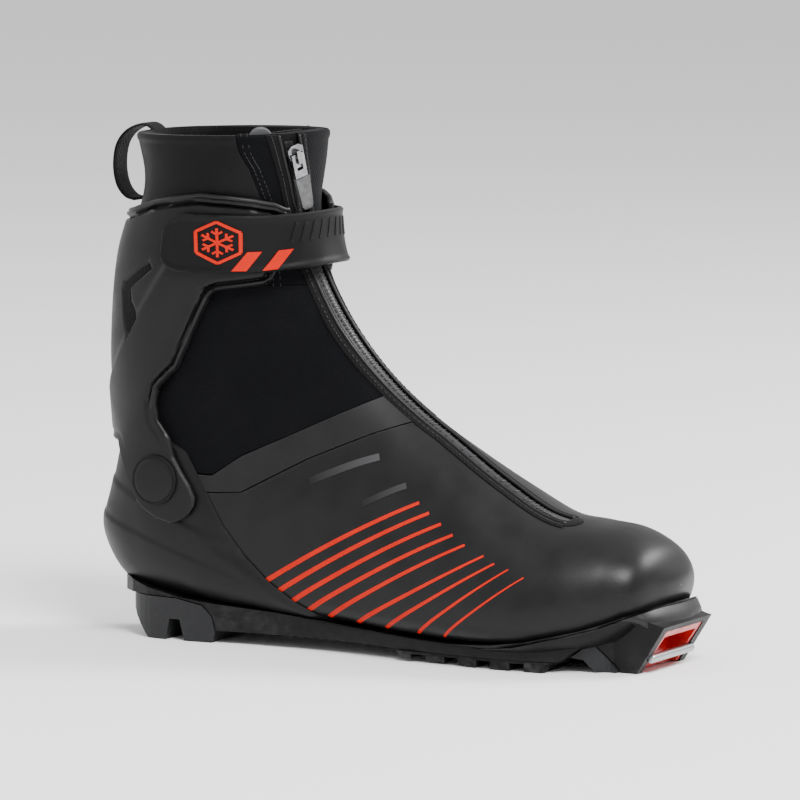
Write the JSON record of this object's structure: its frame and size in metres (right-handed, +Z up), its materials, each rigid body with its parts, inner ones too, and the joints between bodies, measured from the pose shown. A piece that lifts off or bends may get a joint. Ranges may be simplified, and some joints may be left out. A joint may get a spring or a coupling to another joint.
{
  "type": "cross country ski boot",
  "caption": "Skate-style cross country ski boot: cup sole with a toe bar, zipped soft upper, heel counter, rigid leaning ankle cuff and wrap strap.",
  "frame": {"origin": "middle of the boot's footprint on the ground", "axes": "+X toward the toe, +Y toward the inner side of the foot, +Z up; a right boot"},
  "size_m": [0.2977, 0.099, 0.2359],
  "materials": {
    "synthetic": "satin coated synthetic leather",
    "band": "satin coated synthetic leather",
    "softshell": "matte stretch softshell",
    "lining": "matte fleece",
    "foam": "matte board and foam",
    "cuff_plastic": "satin moulded",
    "sole_plastic": "satin moulded",
    "black_rubber": "matte",
    "grey_rubber": "matte",
    "red_plastic": "gloss",
    "steel": "polished",
    "dark_metal": "dark nickel",
    "grey_plastic": "satin",
    "coil": "satin",
    "webbing": "woven",
    "orange_print": "satin print"
  },
  "bodies": {
    "shoe": {"lasting_board": "foam", "toe_box": "synthetic", "quarter_lateral": "synthetic", "quarter_medial": "synthetic", "heel_quarter": "synthetic", "instep_band_lateral": "band", "instep_band_medial": "band", "ankle_softshell": "softshell", "liner_foot": "lining", "liner_ankle": "lining", "insole": "foam", "tongue": "lining", "zip_tape": "webbing", "zip_coil": "coil", "zip_piping_lateral": "webbing", "zip_piping_medial": "webbing", "zip_end_tab": "band", "heel_counter": "synthetic", "sole_chassis": "sole_plastic", "toe_insert": "red_plastic", "toe_bar": "steel", "toe_visor": "grey_rubber", "heel_tread": "grey_rubber", "forefoot_tread": "black_rubber", "toe_grip_lug": "grey_rubber"},
    "cuff": {"cuff": "cuff_plastic", "cuff_edge_trim": "black_rubber", "pivot_rivet_lateral": "cuff_plastic", "pivot_rivet_medial": "cuff_plastic", "collar": "softshell", "collar_gusset_lateral": "softshell", "collar_gusset_medial": "softshell", "liner_collar": "lining", "pull_loop": "webbing", "strap_loop_patch": "webbing", "strap_tail": "webbing", "strap_rivet": "dark_metal"},
    "strap": {"strap": "webbing", "strap_hook_patch": "lining", "strap_badge": "orange_print", "strap_bar_rear": "orange_print", "strap_bar_front": "orange_print"},
    "zip_slider": {"zip_slider": "dark_metal"},
    "zip_puller": {"zip_puller_link": "dark_metal", "zip_puller_tab": "grey_plastic"}
  },
  "joints": [
    {"name": "cuff_lean", "type": "hinge", "parent": "shoe", "child": "cuff", "pos_m": [-0.1045, 0, 0.075], "axis": [0, 1, 0], "range_deg": [-5, 12], "deforming": ["ankle_softshell", "liner_ankle", "zip_tape", "zip_coil", "zip_piping_lateral", "zip_piping_medial", "tongue"]},
    {"name": "strap_open", "type": "hinge", "parent": "cuff", "child": "strap", "pos_m": [-0.0459, 0.0294, 0.185], "axis": [0, 0, 1], "range_deg": [0, 100]},
    {"name": "zip_slide", "type": "slide", "parent": "cuff", "child": "zip_slider", "axis": [0.0126, 0.3387, -0.9408], "range_m": [0, 0.014], "deforming": ["zip_coil"]},
    {"name": "zip_pull_swing", "type": "hinge", "parent": "zip_slider", "child": "zip_puller", "pos_m": [-0.0429, -0.01831, 0.22433], "axis": [-0.4129, -0.8552, -0.3134], "range_deg": [0, 150]}
  ]
}
